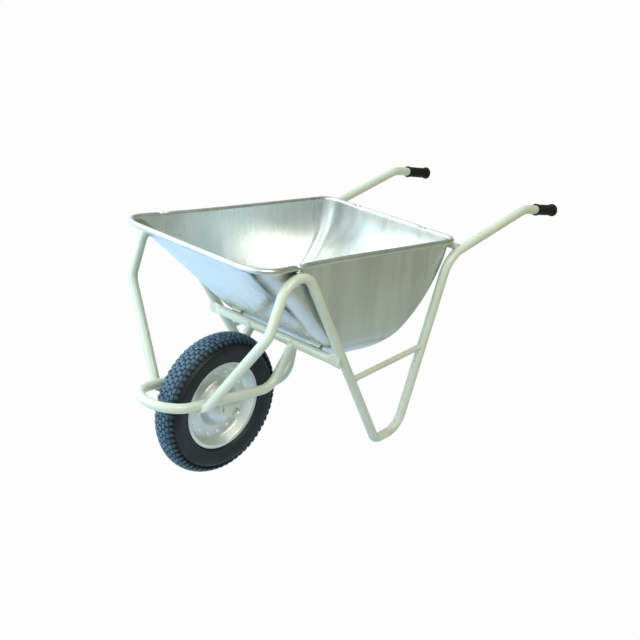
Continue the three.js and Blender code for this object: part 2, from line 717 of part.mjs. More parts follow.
function buildValve() {
  const { stemLength, capLength, capWall, capEnd } = VALVE;
  addPiece(wheelFrame, 'valve_stem', valveRod(-1, stemLength, VALVE.radius), TUBE_RUBBER);
  const bore = VALVE.radius + GAP;
  const skin = bore + capWall;
  const cap = turned([
    [bore, 0], [skin, 0], [skin, capLength - 1], [bore, capLength], [0, capLength],
    [0, capLength - capEnd], [bore, capLength - capEnd],
  ], 10);
  const mesh = addPiece(wheelFrame, 'valve_cap', cap, GRIP_PLASTIC);
  const along = new THREE.Vector3(0, VALVE.dirY, VALVE.dirR).normalize();
  mesh.quaternion.setFromUnitVectors(new THREE.Vector3(0, 1, 0), along);
  mesh.position.set(0, VALVE.y, VALVE.r).addScaledVector(along, stemLength + capEnd + GAP - capLength);
}

// ---------- build ----------

buildFrame();
buildTray();
buildRimBolts();
buildTrayPads();
buildGrips();
buildAxle();
buildWheel();

// Origin at the middle of the footprint.
const extent = new THREE.Box3().setFromObject(barrow, true);
barrow.position.set(-(extent.min.x + extent.max.x) / 2, 0, -extent.min.z);

export default barrow;
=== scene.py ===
"""Single-wheel builder's wheelbarrow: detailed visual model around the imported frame.

Shapes are drawn in millimetres from the point on the ground under the axle, with +X to the
grips, +Y to the user's right and +Z up, and at() turns them into the row frame's metres.
"""

import math
import random

import bmesh
import bpy
from mathutils import Matrix, Quaternion, Vector


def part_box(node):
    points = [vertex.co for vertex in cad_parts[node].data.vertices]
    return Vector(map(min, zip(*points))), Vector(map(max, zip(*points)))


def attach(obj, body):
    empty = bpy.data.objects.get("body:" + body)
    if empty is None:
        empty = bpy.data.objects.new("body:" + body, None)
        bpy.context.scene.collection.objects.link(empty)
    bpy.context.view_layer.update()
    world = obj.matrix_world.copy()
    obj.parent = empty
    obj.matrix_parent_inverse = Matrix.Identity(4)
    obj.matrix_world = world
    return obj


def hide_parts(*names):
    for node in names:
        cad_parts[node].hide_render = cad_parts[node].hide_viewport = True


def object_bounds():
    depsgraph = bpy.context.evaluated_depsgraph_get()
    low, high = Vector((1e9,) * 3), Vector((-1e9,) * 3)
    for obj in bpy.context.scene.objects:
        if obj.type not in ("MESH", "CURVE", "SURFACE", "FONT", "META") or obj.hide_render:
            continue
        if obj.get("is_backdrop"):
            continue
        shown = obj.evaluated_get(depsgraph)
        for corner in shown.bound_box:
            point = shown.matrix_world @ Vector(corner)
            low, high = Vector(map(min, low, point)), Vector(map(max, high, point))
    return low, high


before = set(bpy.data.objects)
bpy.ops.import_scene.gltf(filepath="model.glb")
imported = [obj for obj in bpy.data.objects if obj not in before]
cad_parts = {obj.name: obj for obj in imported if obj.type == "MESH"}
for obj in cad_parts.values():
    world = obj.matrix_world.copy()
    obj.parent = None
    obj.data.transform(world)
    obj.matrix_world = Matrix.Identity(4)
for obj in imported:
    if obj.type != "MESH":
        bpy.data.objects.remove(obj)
cad_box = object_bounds()

# ---------- driving dimensions, in millimetres ----------

MM = 0.001
RIM_TILT = math.radians(9.7)
SIDES = (("left", -1), ("right", 1))

TUBE_RADIUS = 12.7
BRACE_RADIUS = 8
BRACE_HEIGHT = 243
REAR_BAR_RADIUS = 9.5
REAR_BAR_OUTBOARD = 4.2
REAR_BAR_GAP = 0.6  # between the rim bead and the rear bar

# One side of the frame, from the grip to the wheel hoop:
# x, distance from the middle, z and bend radius at each corner.
SIDE_ROUTE = [
    (1107, 240, 495, 0),
    (963, 243, 535, 90),
    (628, 243, 487, 80),
    (469, 216, 12.7, 60),
    (378, 216, 12.7, 30),
    (35, 262.5, 681, 60),
    (-54, 257, 481, 60),
    (-121, 88, 240, 0),
]
LEG_REAR = (SIDE_ROUTE[2], SIDE_ROUTE[3])
LEG_FRONT = (SIDE_ROUTE[5], SIDE_ROUTE[4])

HOOP_HALF_WIDTH = 80
HOOP_FRONT = -219
HOOP_HEIGHT_AT_AXLE = 238
HOOP_REAR_BEND = 118
HOOP_BEND_RADIUS = 60
HOOP_NOSE_RADIUS = 76

MITRE_BACK = 13  # from the route's end to the middle of the slanted cut
MITRE_FACING = (0.34, 0.72, -0.60)  # rearwards, outboard and down
MITRE_SLANT = 1.65
CUT_REACH = 50  # how far from its middle a cut takes faces

CROSSBAR_Z = 319
CROSSBAR_HALF_LENGTH = 246
CROSSBAR_FLAT_FROM = 200
CROSSBAR_FLAT_TO = 224
CROSSBAR_SQUEEZE = 0.3
CROSSBAR_SPREAD = 1.35

TRAY_FRONT = Vector((-83, 0, 649))  # middle of the rim bead at the front
TRAY_LENGTH = 757
TRAY_HALF_WIDTH = 232.5
TRAY_FLARE = 22
TRAY_FLARE_END = 380
TRAY_DEPTH = 292
TRAY_REAR_ARC = 292
TRAY_REAR_POWER = 1.8
TRAY_SHEET = 1.2
TRAY_FRONT_SLOPE = math.radians(37.5)
TRAY_FRONT_FILLET = 90
TRAY_SIDE_TAPER = math.radians(4)
TRAY_EDGE_ROUND = 60
TRAY_FRONT_CORNER = 66
TRAY_REAR_CORNER = 32
TRAY_FLOOR_CORNER = 22
BEAD = 7.5
BEAD_TURN = math.radians(300)
BEAD_STEPS = 26
TRAY_LEVELS = 44

SIDE_BOLT_X = 51
REAR_BOLT_Y = 121
BOLT_OUTBOARD = 3
BOLT_RADIUS = 4
BOLT_DENT = 5.0  # how far the bead is pulled down under a bolt head
BOLT_DENT_REACH = 21
NUT_FLATS = 13
NUT_HEIGHT = 6.5
WASHER_SHEET = 1.2
GRIP_LENGTH = 96
GRIP_PAST_TUBE = 5.3
GRIP_GROOVES = 9

WHEEL_RADIUS = 190
SEGMENTS = 144
RIVET_COUNT = 16
RIVET_CIRCLE = 85
TREAD_DEPTH = 4.5
TREAD_PITCHES = 66
LUG_LIFT = 1.2  # how far the shoulder lugs stand out beyond the tread
TREAD_ROWS = ((1, 13.5), (15.5, 27.5), (29.5, 42.5))  # degrees from the crown
CARCASS = (154, 36, 38.5)  # middle of the tyre's section, and its half height and half width
AXLE_RADIUS = 6
AXLE_HALF_LENGTH = 89
AXLE_NUT_FLATS = 19
BRACKET_OUTER = 74
BRACKET_WELD = (-49, 14)  # x of the weld's ends
WELD_OFFSET = 6  # from the hoop arm's middle plane to the bracket weld
WELD_LOOKBACK = 60

REAR_BAR_DEPTH = BEAD + REAR_BAR_RADIUS + REAR_BAR_GAP  # its middle, below the rim's plane

axle_low, axle_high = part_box("axle")
AXLE = (axle_low + axle_high) / 2 / MM  # middle of the axle in the row frame


def at(point):
    """A drawn point in the row frame's metres."""
    return (Vector(point) + Vector((AXLE.x, 0, 0))) * MM


def from_wheel(point):
    """A point given from the middle of the wheel, in the drawing's millimetres."""
    return Vector(point) + Vector((0, 0, WHEEL_RADIUS))


def from_tray(point):
    """A point given in the tilted frame of the tray's rim, in the drawing's millimetres."""
    return Matrix.Rotation(RIM_TILT, 3, "Y") @ Vector(point) + TRAY_FRONT


def to_tray(point):
    return Matrix.Rotation(-RIM_TILT, 3, "Y") @ (Vector(point) - TRAY_FRONT)


def lerp(a, b, share):
    return a + (b - a) * share


# ---------- materials ----------


def fill_ramp(node, stops):
    """Sets a colour ramp's stops: (position, colour or grey)."""
    elements = node.color_ramp.elements
    while len(elements) < len(stops):
        elements.new(0.5)
    for element, (position, colour) in zip(elements, stops):
        element.position = position
        element.color = (colour,) * 3 + (1,) if isinstance(colour, float) else (*colour, 1)


class Nodes:
    """A material with a Principled shader and short calls that add nodes to it."""

    def __init__(self, name, **sockets):
        self.material = bpy.data.materials.new(name)
        self.material.use_nodes = True
        self.tree = self.material.node_tree
        self.shader = self.tree.nodes["Principled BSDF"]
        for socket, value in sockets.items():
            self.shader.inputs[socket.replace("_", " ")].default_value = value

    def add(self, kind, **settings):
        node = self.tree.nodes.new(kind)
        for key, value in settings.items():
            setattr(node, key, value)
        return node

    def link(self, source, target):
        self.tree.links.new(source, target)

    def place(self, scale):
        """Object coordinates, stretched by scale along each axis."""
        coords = self.add("ShaderNodeTexCoord")
        mapping = self.add("ShaderNodeMapping")
        mapping.inputs["Scale"].default_value = scale
        self.link(coords.outputs["Object"], mapping.inputs["Vector"])
        return mapping.outputs["Vector"]

    def noise(self, scale, detail=3, stretch=(1, 1, 1), roughness=0.5):
        node = self.add("ShaderNodeTexNoise")
        node.inputs["Scale"].default_value = scale
        node.inputs["Detail"].default_value = detail
        node.inputs["Roughness"].default_value = roughness
        self.link(self.place(stretch), node.inputs["Vector"])
        return node.outputs["Fac"]

    def cells(self, scale):
        node = self.add("ShaderNodeTexVoronoi", feature="F1")
        node.inputs["Scale"].default_value = scale
        self.link(self.place((1, 1, 1)), node.inputs["Vector"])
        return node.outputs["Distance"]

    def ramp(self, factor, *stops):
        """A colour or grey at each position of factor: (position, colour)."""
        node = self.add("ShaderNodeValToRGB")
        fill_ramp(node, stops)
        self.link(factor, node.inputs["Fac"])
        return node.outputs["Color"]

    def mix(self, factor, first, second, blend="MIX"):
        node = self.add("ShaderNodeMix", data_type="RGBA", blend_type=blend)
        if isinstance(factor, float):
            node.inputs["Factor"].default_value = factor
        else:
            self.link(factor, node.inputs["Factor"])
        for name, value in (("A", first), ("B", second)):
            socket = next(s for s in node.inputs if s.name == name and s.type == "RGBA")
            if isinstance(value, tuple):
                socket.default_value = (*value, 1)
            else:
                self.link(value, socket)
        return next(s for s in node.outputs if s.type == "RGBA")

    def height(self, low, high):
        """0 below the height low and 1 above high, in metres."""
        coords = self.add("ShaderNodeTexCoord")
        split = self.add("ShaderNodeSeparateXYZ")
        span = self.add("ShaderNodeMapRange")
        span.inputs["From Min"].default_value = low
        span.inputs["From Max"].default_value = high
        self.link(coords.outputs["Object"], split.inputs["Vector"])
        self.link(split.outputs["Z"], span.inputs["Value"])
        return span.outputs["Result"]

    def off_axle(self, low, high):
        """0 nearer the wheel's axis than low and 1 beyond high, in metres."""
        coords = self.add("ShaderNodeTexCoord")
        centred = self.add("ShaderNodeVectorMath", operation="SUBTRACT")
        centred.inputs[1].default_value = AXLE * MM
        flat = self.add("ShaderNodeVectorMath", operation="MULTIPLY")
        flat.inputs[1].default_value = (1, 0, 1)
        reach = self.add("ShaderNodeVectorMath", operation="LENGTH")
        span = self.add("ShaderNodeMapRange")
        span.inputs["From Min"].default_value = low
        span.inputs["From Max"].default_value = high
        self.link(coords.outputs["Object"], centred.inputs[0])
        self.link(centred.outputs["Vector"], flat.inputs[0])
        self.link(flat.outputs["Vector"], reach.inputs[0])
        self.link(reach.outputs["Value"], span.inputs["Value"])
        return span.outputs["Result"]

    def bump(self, height, distance, strength=1.0):
        node = self.add("ShaderNodeBump")
        node.inputs["Distance"].default_value = distance
        node.inputs["Strength"].default_value = strength
        self.link(height, node.inputs["Height"])
        previous = self.shader.inputs["Normal"]
        if previous.is_linked:
            self.link(previous.links[0].from_socket, node.inputs["Normal"])
        self.link(node.outputs["Normal"], previous)

    def colour(self, source):
        self.link(source, self.shader.inputs["Base Color"])

    def roughness(self, source):
        self.link(source, self.shader.inputs["Roughness"])


def frame_paint():
    """Ivory enamel over steel: slightly wavy, with uneven gloss and dust near the ground."""
    m = Nodes("frame_paint", Coat_Weight=0.35, Coat_Roughness=0.12, IOR=1.5)
    clean = m.ramp(m.noise(9, 4), (0.3, (0.50, 0.51, 0.40)), (0.7, (0.56, 0.57, 0.465)))
    dust = m.ramp(m.noise(24, 2), (0.35, (0.46, 0.455, 0.38)), (0.75, (0.60, 0.61, 0.51)))
    m.colour(m.mix(m.height(0.0, 0.06), dust, clean))
    m.roughness(m.ramp(m.noise(14, 2), (0.3, 0.28), (0.75, 0.38)))
    m.bump(m.noise(30, 1), 0.0003, 0.15)
    return m.material


def weld_paint():
    """The same enamel over the ripples of a weld."""
    m = Nodes("weld_paint", Coat_Weight=0.3, Coat_Roughness=0.2)
    m.colour(m.ramp(m.noise(160, 4), (0.3, (0.44, 0.45, 0.37)), (0.65, (0.60, 0.62, 0.53))))
    m.roughness(m.ramp(m.noise(300, 3), (0.3, 0.34), (0.7, 0.5)))
    m.bump(m.noise(700, 3), 0.0004)
    return m.material


def tray_steel():
    """Galvanised sheet: soft streaks down the walls and cloudy gloss."""
    m = Nodes("tray_steel", Metallic=1.0)
    streaks = m.noise(1, 1, stretch=(30, 30, 1.2), roughness=0.35)
    clouds = m.ramp(m.noise(5, 3), (0.3, (0.60, 0.62, 0.605)), (0.72, (0.72, 0.735, 0.72)))
    lines = m.ramp(streaks, (0.3, (0.88, 0.89, 0.88)), (0.7, (1.0, 1.0, 1.0)))
    m.colour(m.mix(1.0, clouds, lines, "MULTIPLY"))
    m.roughness(m.ramp(streaks, (0.25, 0.22), (0.75, 0.36)))
    m.bump(m.noise(5, 1), 0.004, 0.15)
    return m.material


def wheel_steel():
    """Silver wheel lacquer: metal flake, dull patches and a faintly dented sheet."""
    m = Nodes("wheel_steel", Metallic=0.85, Coat_Weight=0.1, Coat_Roughness=0.3)
    flake = m.ramp(m.cells(900), (0.0, (0.66, 0.68, 0.63)), (0.8, (0.80, 0.815, 0.76)))
    dull = m.ramp(m.noise(24, 5), (0.35, (0.50, 0.51, 0.48)), (0.65, (0.72, 0.74, 0.71)))
    m.colour(m.mix(0.45, flake, dull))
    m.roughness(m.ramp(m.noise(30, 4), (0.3, 0.40), (0.7, 0.50)))
    m.bump(m.noise(45, 3), 0.0012, 0.3)
    m.bump(m.noise(600, 2), 0.00012)
    return m.material


def zinc():
    """Bright zinc plate with cloudy, slightly yellow patches."""
    m = Nodes("zinc", Metallic=1.0)
    m.colour(m.ramp(m.noise(140, 4), (0.3, (0.62, 0.62, 0.58)), (0.7, (0.83, 0.85, 0.86))))
    m.roughness(m.ramp(m.noise(260, 3), (0.3, 0.2), (0.75, 0.38)))
    m.bump(m.noise(900, 2), 0.00012)
    return m.material


def rivet_zinc_painted_highlight():
    """Partly dulled zinc on the rivet heads, painted near white and only partly metallic as a painted
    highlight.
    """
    m = Nodes("rivet_zinc_painted_highlight", Metallic=0.35)
    # Near-white colour: a painted highlight that makes the rivet heads read as bright dots.
    m.colour(m.ramp(m.noise(260, 3), (0.3, (0.84, 0.86, 0.83)), (0.7, (0.97, 0.98, 0.96))))
    m.roughness(m.ramp(m.noise(300, 2), (0.3, 0.18), (0.7, 0.32)))
    m.bump(m.noise(700, 2), 0.0001)
    return m.material


def bearing_steel():
    """Ground steel with fine turning lines round the wheel's axis."""
    m = Nodes("bearing_steel", Metallic=1.0)
    m.colour(m.ramp(m.noise(90, 3), (0.3, (0.50, 0.51, 0.53)), (0.7, (0.66, 0.67, 0.69))))
    m.roughness(m.ramp(m.noise(1, 2, stretch=(60, 2600, 60)), (0.3, 0.16), (0.7, 0.3)))
    m.bump(m.noise(1, 2, stretch=(60, 2600, 60)), 0.00006)
    return m.material


def tyre_rubber():
    """Black rubber, lighter and bluish on the tread from wear and a painted bluish sheen, with dust in
    patches and a fine moulded skin.
    """
    m = Nodes("tyre_rubber", Specular_IOR_Level=0.27)
    bloom = m.ramp(m.noise(17, 5), (0.3, (0.006, 0.008, 0.008)), (0.72, (0.015, 0.018, 0.018)))
    # The tread's lighter bluish tone is partly wear and partly a painted sheen of the cool light on the
    # crown.
    worn_tread_and_painted_sheen = m.ramp(m.noise(70, 5), (0.3, (0.040, 0.074, 0.108)), (0.7, (0.098, 0.165, 0.228)))
    surface = m.mix(m.off_axle(0.170, 0.188), bloom, worn_tread_and_painted_sheen)
    dust = m.ramp(m.noise(150, 6, roughness=0.7), (0.62, 0.0), (0.85, 0.4))
    m.colour(m.mix(dust, surface, (0.10, 0.105, 0.10)))
    m.roughness(m.ramp(m.noise(45, 4), (0.3, 0.34), (0.7, 0.50)))
    m.bump(m.noise(520, 3), 0.00025)
    return m.material


def tube_rubber():
    """Matt butyl with talc left on it."""
    m = Nodes("tube_rubber")
    talc = m.ramp(m.noise(80, 5), (0.5, (0.010, 0.010, 0.010)), (0.8, (0.07, 0.07, 0.068)))
    m.colour(talc)
    m.roughness(m.ramp(m.noise(60, 3), (0.3, 0.6), (0.7, 0.8)))
    m.bump(m.noise(400, 2), 0.0002)
    return m.material


def grip_plastic():
    """Soft black PVC with a leathery grain, polished where hands rub it."""
    m = Nodes("grip_plastic", Specular_IOR_Level=0.15)
    m.colour(m.ramp(m.noise(35, 4), (0.3, (0.004, 0.0045, 0.003)), (0.7, (0.011, 0.012, 0.008))))
    m.roughness(m.ramp(m.noise(28, 3), (0.3, 0.36), (0.7, 0.56)))
    m.bump(m.cells(1100), 0.00025)
    return m.material


MATERIALS = {
    "frame_paint": frame_paint(),
    "tray_steel": tray_steel(),
    "wheel_steel": wheel_steel(),
    "zinc": zinc(),
    "bearing_steel": bearing_steel(),
    "tyre_rubber": tyre_rubber(),
    "tube_rubber": tube_rubber(),
    "grip_plastic": grip_plastic(),
}
WELD_PAINT = weld_paint()
# Zinc for the rivet heads, painted near white as a painted highlight.
RIVET_PAINTED_HIGHLIGHT = rivet_zinc_painted_highlight()

# ---------- mesh making ----------


def piece(name, verts, faces, body, slot, nodes=(), crease=35, material=None, cut=None):
    """A shown mesh from drawn points, riding on body and standing for the given CAD nodes.

    cut is a point and a direction: what lies beyond that plane, on the faces that reach within
    CUT_REACH of the point, is taken off, and the end closed.
    """
    mesh = bpy.data.meshes.new(name)
    mesh.from_pydata([at(v) for v in verts], [], faces)
    work = bmesh.new()
    work.from_mesh(mesh)
    bmesh.ops.remove_doubles(work, verts=work.verts, dist=1e-6)
    if cut:
        near = {v for v in work.verts if (v.co - at(cut[0])).length < CUT_REACH * MM}
        faces = {face for vert in near for face in vert.link_faces}
        edges = {edge for face in faces for edge in face.edges}
        verts = {vert for face in faces for vert in face.verts}
        geometry = [*verts, *edges, *faces]
        bmesh.ops.bisect_plane(
            work, geom=geometry, plane_co=at(cut[0]), plane_no=cut[1], clear_outer=True
        )
        bmesh.ops.holes_fill(work, edges=[e for e in work.edges if e.is_boundary])
    bmesh.ops.recalc_face_normals(work, faces=work.faces)
    work.to_mesh(mesh)
    work.free()
    mesh.materials.append(material or MATERIALS[slot])
    mesh.shade_smooth()
    mesh.set_sharp_from_angle(angle=math.radians(crease))
    made = bpy.data.objects.new(name, mesh)
    bpy.context.scene.collection.objects.link(made)
    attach(made, body)
    if nodes:
        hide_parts(*nodes)


def joined(*shapes):
    """Several (points, faces) shapes as one."""
    verts, faces = [], []
    for points, sides in shapes:
        start = len(verts)
        verts.extend(points)
        faces.extend(tuple(i + start for i in side) for side in sides)
    return verts, faces


def loft(rings, wrap=False):
    """Joins rings of equal length. The ends are closed, or joined to each other with wrap."""
    count = len(rings[0])
    faces = []
    for r in range(len(rings) if wrap else len(rings) - 1):
        here, there = r * count, (r + 1) % len(rings) * count
        for i in range(count):
            j = (i + 1) % count
            faces.append((here + i, here + j, there + j, there + i))
    if not wrap:
        faces.append(tuple(range(count)))
        faces.append(tuple(range((len(rings) - 1) * count, len(rings) * count)))
    return [p for ring in rings for p in ring], faces


def bent_route(corners, step=0.07):
    """The knots of a route whose corners are rounded: each corner is (x, y, z, bend radius)."""
    points = [Vector(c[:3]) for c in corners]
    knots = [points[0]]
    for i in range(1, len(points) - 1):
        back = (points[i - 1] - points[i]).normalized()
        ahead = (points[i + 1] - points[i]).normalized()
        half = back.angle(ahead) / 2
        radius = corners[i][3]
        centre = points[i] + (back + ahead).normalized() * (radius / math.sin(half))
        start = points[i] + back * (radius / math.tan(half)) - centre
        turn = math.pi - 2 * half
        axis = back.cross(ahead).normalized()
        steps = max(2, math.ceil(turn / step))
        for k in range(steps + 1):
            knots.append(Quaternion(axis, -turn * k / steps) @ start + centre)
    knots.append(points[-1])
    return knots


def directions(knots, closed=False):
    """The way a path runs at each of its knots."""
    found = []
    for i, here in enumerate(knots):
        before = knots[i - 1] if i or closed else here
        after = knots[(i + 1) % len(knots)] if i < len(knots) - 1 or closed else here
        found.append((after - before).normalized())
    return found


def swept(knots, radius, sides=36, closed=False):
    """A round bar along a path. radius is one number or one for each knot."""
    ways = directions(knots, closed)
    side = ways[0].orthogonal().normalized()
    rings = []
    for i, (knot, way) in enumerate(zip(knots, ways)):
        side = (side - way * side.dot(way)).normalized()
        up = way.cross(side)
        r = radius[i] if isinstance(radius, list) else radius
        turns = [2 * math.pi * k / sides for k in range(sides)]
        rings.append([knot + side * (r * math.cos(t)) + up * (r * math.sin(t)) for t in turns])
    return loft(rings, wrap=closed)


def rounded(points, radius, steps=3):
    """A closed outline with its corners rounded, apart from those on the turning axis."""
    out = []
    for i, corner in enumerate(points):
        corner = Vector(corner)
        if corner.x == 0:
            out.append(corner)
            continue
        legs = [Vector(points[i - 1]) - corner, Vector(points[(i + 1) % len(points)]) - corner]
        start, end = (corner + leg.normalized() * min(radius, 0.45 * leg.length) for leg in legs)
        for k in range(steps + 1):
            t = k / steps
            out.append(start * (1 - t) ** 2 + corner * (2 * t * (1 - t)) + end * t**2)
    return out


def turned(outline, place, segments=SEGMENTS):
    """A solid of revolution from (radius, distance along the axis) points.

    place puts it in the drawing.
    """
    rings = []
    for k in range(segments):
        t = 2 * math.pi * k / segments
        rings.append([place((p[0] * math.cos(t), p[1], p[0] * math.sin(t))) for p in outline])
    return loft(rings, wrap=True)


def along(start, way):
    """A placing for turned shapes whose axis starts at a point and runs a given way."""
    turn = Vector((0, 1, 0)).rotation_difference(Vector(way))
    return lambda p: turn @ Vector(p) + Vector(start)


def hexagon(flats, low, high, hole, place):
    """A chamfered hexagonal nut with a round hole."""
    sides = 48
    rings = []
    chamfer = 0.09 * flats

    def ring_at(radius_of, y):
        points = []
        for k in range(sides):
            t = 2 * math.pi * k / sides
            radius = radius_of(t)
            points.append(place((radius * math.cos(t), y, radius * math.sin(t))))
        return points

    def hexed(t):
        return flats / 2 / math.cos((t + math.pi / 6) % (math.pi / 3) - math.pi / 6)

    def eased(t):
        return min(hexed(t), flats / 2 * 1.01)

    for radius_of, y in (
        (lambda t: hole, low),
        (eased, low),
        (hexed, low + chamfer),
        (hexed, high - chamfer),
        (eased, high),
        (lambda t: hole, high),
    ):
        rings.append(ring_at(radius_of, y))
    return loft(rings, wrap=True)


def threaded(radius, low, high, place, pitch=1.5, depth=0.55):
    """A threaded bar end with a chamfered tip at high."""
    sides = 32
    count = int((high - low) / pitch * 4)
    rings = []
    for r in range(count + 1):
        y = lerp(low, high, r / count)
        tip = min(1, max(0, (high - y) / 1.6))
        ring = []
        for k in range(sides):
            t = 2 * math.pi * k / sides
            wave = (math.cos(2 * math.pi * y / pitch - t) - 1) / 2 * depth
            size = (radius + wave) * lerp(0.82, 1, tip)
            ring.append(place((size * math.cos(t), y, size * math.sin(t))))
        rings.append(ring)
    return loft(rings)


# ---------- frame tubes ----------


def mirror_y(point, y):
    return Vector((point.x, point.y * y, point.z))


def side_knots(y):
    return bent_route([(x, y * half, z, bend) for x, half, z, bend in SIDE_ROUTE])


def route_corners(y, *indexes):
    """Corners of one side's route, without their bend radius."""
    return [mirror_y(Vector(SIDE_ROUTE[i][:3]), y) for i in indexes]


def strut_end(y):
    """The mitre at the strut's tip: a point of the cut and the way that it faces."""
    tip, before = route_corners(y, -1, -2)
    way = (tip - before).normalized()
    facing = mirror_y(Vector(MITRE_FACING), y)
    return tip - way * MITRE_BACK, way + facing * MITRE_SLANT


def hoop_height(x):
    return HOOP_HEIGHT_AT_AXLE - x * math.tan(RIM_TILT)


def along_leg(leg, z):
    top, foot = leg
    share = (z - foot[2]) / (top[2] - foot[2])
    return Vector((lerp(foot[0], top[0], share), lerp(foot[1], top[1], share), z))


def crossbar_x():
    top, foot = LEG_FRONT
    lean = math.atan2(foot[0] - top[0], top[2] - foot[2])
    stand_off = TUBE_RADIUS * (1 + CROSSBAR_SQUEEZE)
    return along_leg(LEG_FRONT, CROSSBAR_Z).x - stand_off / math.cos(lean)


def hoop_knots():
    corners = [
        (crossbar_x(), CROSSBAR_Z, 0),
        (HOOP_REAR_BEND, hoop_height(HOOP_REAR_BEND), HOOP_BEND_RADIUS),
        (HOOP_FRONT, hoop_height(HOOP_FRONT), HOOP_NOSE_RADIUS),
    ]
    right = [(x, HOOP_HALF_WIDTH, z, bend) for x, z, bend in corners]
    left = [(x, -HOOP_HALF_WIDTH, z, bend) for x, z, bend in reversed(corners)]
    return bent_route(right + left)


def crossbar_shape():
    """A round bar pinched flat at both ends, closed by its two walls meeting."""
    stations = [CROSSBAR_FLAT_FROM + k * 3 for k in range(9)]
    ys = [-CROSSBAR_HALF_LENGTH, *(-y for y in reversed(stations)), *stations, CROSSBAR_HALF_LENGTH]
    rings = []
    for y in ys:
        share = (abs(y) - CROSSBAR_FLAT_FROM) / (CROSSBAR_FLAT_TO - CROSSBAR_FLAT_FROM)
        share = min(1, max(0, share))
        share = share * share * (3 - 2 * share)
        wide = TUBE_RADIUS * lerp(1, CROSSBAR_SPREAD, share)
        thin = TUBE_RADIUS * lerp(1, CROSSBAR_SQUEEZE, share)
        turns = [2 * math.pi * k / 40 for k in range(40)]
        rings.append(
            [(crossbar_x() + thin * math.cos(t), y, CROSSBAR_Z + wide * math.sin(t)) for t in turns]
        )
    return loft(rings)


def rear_bar_ends():
    middle = from_tray((TRAY_LENGTH + REAR_BAR_OUTBOARD, 0, -REAR_BAR_DEPTH))
    return [Vector((middle.x, y * LEG_REAR[0][1], middle.z)) for _, y in SIDES]


def brace_ends(y):
    return [mirror_y(along_leg(leg, BRACE_HEIGHT), y) for leg in (LEG_FRONT, LEG_REAR)]


def build_frame():
    hoop = swept(hoop_knots(), TUBE_RADIUS)
    piece("hoop_tube", *hoop, "frame", "frame_paint", ["wheel_hoop"])
    piece("crossbar_pinched", *crossbar_shape(), "frame", "frame_paint", ["front_crossbar"])
    rear = swept(rear_bar_ends(), REAR_BAR_RADIUS)
    piece("rear_bar", *rear, "frame", "frame_paint", ["rear_crossbar"])
    for name, y in SIDES:
        knots = side_knots(y)
        way = (knots[-1] - knots[-2]).normalized()
        knots[-1] = knots[-1] + way * TUBE_RADIUS
        tube = swept(knots, TUBE_RADIUS)
        nodes = [f"{name}_frame_tube"]
        piece(f"{name}_side_tube", *tube, "frame", "frame_paint", nodes, cut=strut_end(y))
        brace = swept(brace_ends(y), BRACE_RADIUS)
        piece(f"{name}_brace_tube", *brace, "frame", "frame_paint", [f"{name}_leg_brace"])


# ---------- welds ----------


def bead_along(knots, radius, rng, closed):
    """A rippled weld bead along a path."""
    ripples = [0.22 * math.sin(i * 1.9) + rng.uniform(-0.1, 0.1) for i in range(len(knots))]
    sizes = [radius * (1 + ripple) for ripple in ripples]
    return swept(knots, sizes, sides=10, closed=closed)


def weld_ring(end, way, radius, main, main_way, main_radius, count=54):
    """The line where a branch tube meets the skin of a main tube."""
    way = way.normalized()
    main_way = main_way.normalized()
    side = way.orthogonal().normalized()
    up = way.cross(side)
    knots = []
    for k in range(count):
        t = 2 * math.pi * k / count
        start = end - way * WELD_LOOKBACK + side * (radius * math.cos(t)) + up * (radius * math.sin(t))
        offset = start - main
        flat_way = way - main_way * way.dot(main_way)
        flat_offset = offset - main_way * offset.dot(main_way)
        a = flat_way.dot(flat_way)
        b = 2 * flat_way.dot(flat_offset)
        c = flat_offset.dot(flat_offset) - main_radius**2
        reach = b * b - 4 * a * c
        knots.append(start + way * ((-b - math.sqrt(reach)) / (2 * a)) if reach > 0 else None)
    if None not in knots:
        return knots
    first_miss = knots.index(None)
    turned_round = knots[first_miss:] + knots[:first_miss]
    return [knot for knot in turned_round if knot is not None]


def straight(start, end, spacing=1.6):
    steps = max(2, round((end - start).length / spacing))
    return [start.lerp(end, k / steps) for k in range(steps + 1)]


